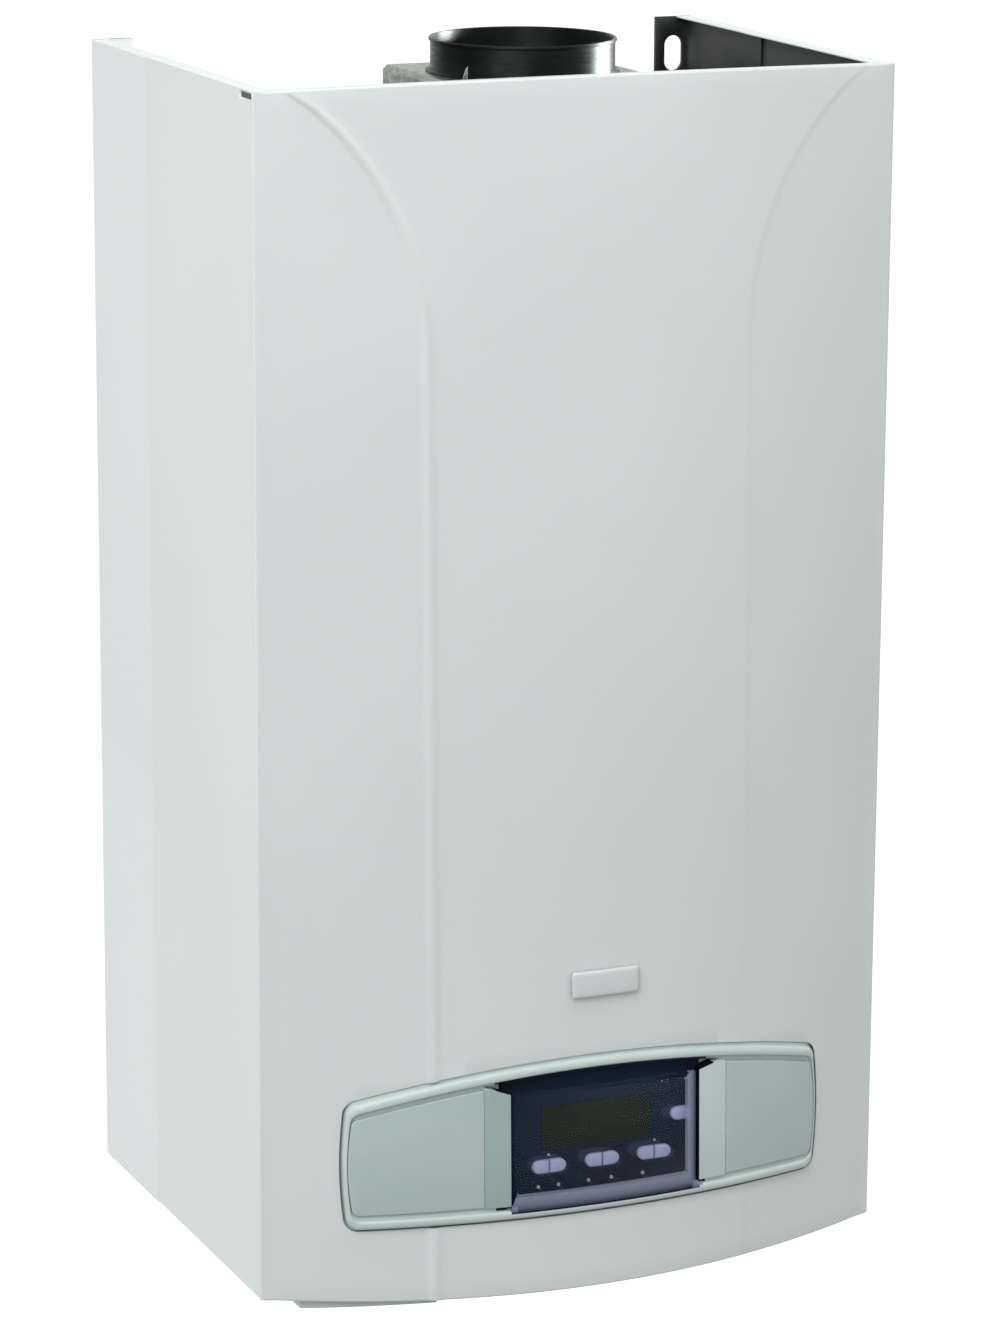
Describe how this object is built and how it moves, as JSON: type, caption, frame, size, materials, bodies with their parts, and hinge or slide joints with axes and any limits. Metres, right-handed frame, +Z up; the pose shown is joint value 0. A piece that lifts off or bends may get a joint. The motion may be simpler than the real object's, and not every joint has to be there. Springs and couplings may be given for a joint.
{
  "type": "combi boiler",
  "caption": "Wall-hung open-flue combination boiler: bowed lift-off cover, tilting control box with flip-down window, buttons and gauge, burner, exchanger, pump and pipework inside.",
  "frame": {"origin": "on the wall plane, midway between the centres of the two hanging slots", "axes": "+X to the right seen from the front, +Y into the wall, +Z up; the front faces -Y"},
  "size_m": [0.43, 0.3479, 0.8235],
  "materials": {
    "white_enamel": "smooth white stoved enamel on sheet steel",
    "side_enamel": "white stoved enamel on sheet steel, slightly cooler",
    "galvanised": "galvanised sheet steel with a fine spangle",
    "dark_bracket": "near-black paint on thick sheet steel",
    "fascia_green": "satin moulded plastic, pale grey-green",
    "plate_green": "satin moulded plastic, a shade darker",
    "badge_grey": "satin pale plastic, blank",
    "navy_panel": "matt dark blue plastic",
    "tinted_flap": "clear bluish-grey polycarbonate",
    "lcd_glass": "dark glossy screen",
    "button_lilac": "satin lilac-grey plastic",
    "box_grey": "pale grey moulded plastic",
    "board_green": "green circuit board with black parts",
    "gauge_black": "black plastic gauge case with a white dial",
    "gauge_glass": "clear gauge glass",
    "needle_red": "red pointer",
    "collar_steel": "dull dark galvanised steel",
    "aluminised": "aluminised sheet steel",
    "insulation": "ceramic fibre board",
    "copper": "copper, slightly tarnished",
    "stainless": "stainless steel",
    "brass": "machined brass",
    "alloy": "die-cast aluminium",
    "black_plastic": "black moulded plastic",
    "vessel_paint": "red paint on pressed steel",
    "pump_paint": "dark paint on the motor can",
    "cast_body": "painted cast body",
    "zinc": "zinc-plated steel",
    "ceramic": "white glazed ceramic with steel wires",
    "knob_black": "black fluted plastic knob",
    "knob_blue": "blue fluted plastic knob",
    "turbine_white": "white plastic",
    "impeller_plastic": "dark glass-filled plastic with a steel shaft"
  },
  "bodies": {
    "frame": {"back_panel": "galvanised", "hanging_brackets": "dark_bracket", "left_side_panel": "side_enamel", "right_side_panel": "side_enamel", "top_cross_rail": "galvanised", "connection_plate": "galvanised", "frame_screws": "zinc", "box_hinge_pins": "zinc", "draught_hood": "aluminised", "flue_collar": "collar_steel", "flue_thermostat": "black_plastic", "combustion_chamber": "aluminised", "chamber_insulation": "insulation", "chamber_front_panel": "aluminised", "exchanger_fins": "copper", "exchanger_tubes": "copper", "burner_ramps": "stainless", "burner_tray": "aluminised", "injector_rail": "brass", "electrodes": "ceramic", "gas_valve_body": "alloy", "gas_valve_coils": "black_plastic", "gas_pipes": "copper", "expansion_vessel": "vessel_paint", "pump_body": "cast_body", "pump_motor": "pump_paint", "air_vent": "brass", "return_manifold": "brass", "flow_manifold": "brass", "valve_motor": "black_plastic", "plate_exchanger": "stainless", "flow_sensor_body": "brass", "heating_pipes": "copper", "lock_nuts": "brass"},
    "cover": {"front_cover": "white_enamel", "badge_plate": "badge_grey", "cover_screws": "zinc"},
    "control_box": {"control_box_tray": "box_grey", "control_box_lid": "box_grey", "main_board": "board_green", "fascia": "fascia_green", "fascia_plates": "plate_green", "display_panel": "navy_panel", "lcd_screen": "lcd_glass", "gauge_body": "gauge_black", "gauge_lens": "gauge_glass"},
    "flap": {"display_flap": "tinted_flap"},
    "needle": {"gauge_needle": "needle_red"},
    "impeller": {"pump_impeller": "impeller_plastic"},
    "valve_stem": {"valve_stem": "stainless"},
    "turbine": {"flow_turbine": "turbine_white"},
    "safety_knob": {"safety_valve_knob": "knob_black"},
    "filling_knob": {"filling_tap_knob": "knob_blue"},
    "button_1": {"button_1": "button_lilac"},
    "button_2": {"button_2": "button_lilac"},
    "button_3": {"button_3": "button_lilac"},
    "button_4": {"button_4": "button_lilac"},
    "button_5": {"button_5": "button_lilac"},
    "button_6": {"button_6": "button_lilac"},
    "button_7": {"button_7": "button_lilac"}
  },
  "joints": [
    {"name": "cover_slide", "type": "slide", "parent": "frame", "child": "cover", "axis": [0, -1, 0], "range_m": [0, 0.5]},
    {"name": "control_box_tilt", "type": "hinge", "parent": "frame", "child": "control_box", "pos_m": [0, -0.285, -0.724], "axis": [1, 0, 0], "range_deg": [0, 60]},
    {"name": "flap_hinge", "type": "hinge", "parent": "control_box", "child": "flap", "pos_m": [0.006, -0.34155, -0.686], "axis": [1, 0, 0], "range_deg": [0, 90]},
    {"name": "gauge_needle_turn", "type": "hinge", "parent": "control_box", "child": "needle", "pos_m": [0.12, -0.262, -0.74], "axis": [0, 0, 1], "range_deg": [0, 270]},
    {"name": "impeller_spin", "type": "hinge", "parent": "frame", "child": "impeller", "pos_m": [0.13, -0.08, -0.606], "axis": [0, 1, 0], "continuous": true},
    {"name": "turbine_spin", "type": "hinge", "parent": "frame", "child": "turbine", "pos_m": [0.065, -0.064, -0.701], "axis": [0, 0, 1], "continuous": true},
    {"name": "valve_stem_slide", "type": "slide", "parent": "frame", "child": "valve_stem", "axis": [0, 0, 1], "range_m": [0, 0.006], "stiffness_N_per_m": 300, "springref_m": -0.002},
    {"name": "safety_knob_turn", "type": "hinge", "parent": "frame", "child": "safety_knob", "pos_m": [0.13, -0.11, -0.663], "axis": [0, 1, 0], "range_deg": [-90, 90]},
    {"name": "filling_knob_turn", "type": "hinge", "parent": "frame", "child": "filling_knob", "pos_m": [0.097, -0.064, -0.753], "axis": [0, 0, 1], "range_deg": [0, 180]},
    {"name": "button_1_press", "type": "slide", "parent": "control_box", "child": "button_1", "axis": [0, 1, 0], "range_m": [0, 0.001], "stiffness_N_per_m": 400, "springref_m": -0.002},
    {"name": "button_2_press", "type": "slide", "parent": "control_box", "child": "button_2", "axis": [0, 1, 0], "range_m": [0, 0.001], "stiffness_N_per_m": 400, "springref_m": -0.002},
    {"name": "button_3_press", "type": "slide", "parent": "control_box", "child": "button_3", "axis": [0, 1, 0], "range_m": [0, 0.001], "stiffness_N_per_m": 400, "springref_m": -0.002},
    {"name": "button_4_press", "type": "slide", "parent": "control_box", "child": "button_4", "axis": [0, 1, 0], "range_m": [0, 0.001], "stiffness_N_per_m": 400, "springref_m": -0.002},
    {"name": "button_5_press", "type": "slide", "parent": "control_box", "child": "button_5", "axis": [0, 1, 0], "range_m": [0, 0.001], "stiffness_N_per_m": 400, "springref_m": -0.002},
    {"name": "button_6_press", "type": "slide", "parent": "control_box", "child": "button_6", "axis": [0, 1, 0], "range_m": [0, 0.001], "stiffness_N_per_m": 400, "springref_m": -0.002},
    {"name": "button_7_press", "type": "slide", "parent": "control_box", "child": "button_7", "axis": [0, 1, 0], "range_m": [0, 0.001], "stiffness_N_per_m": 400, "springref_m": -0.002}
  ],
  "couplings": [
    {"joint": "control_box_tilt", "follows": "cover_slide", "rad_per_m": 2.09}
  ]
}
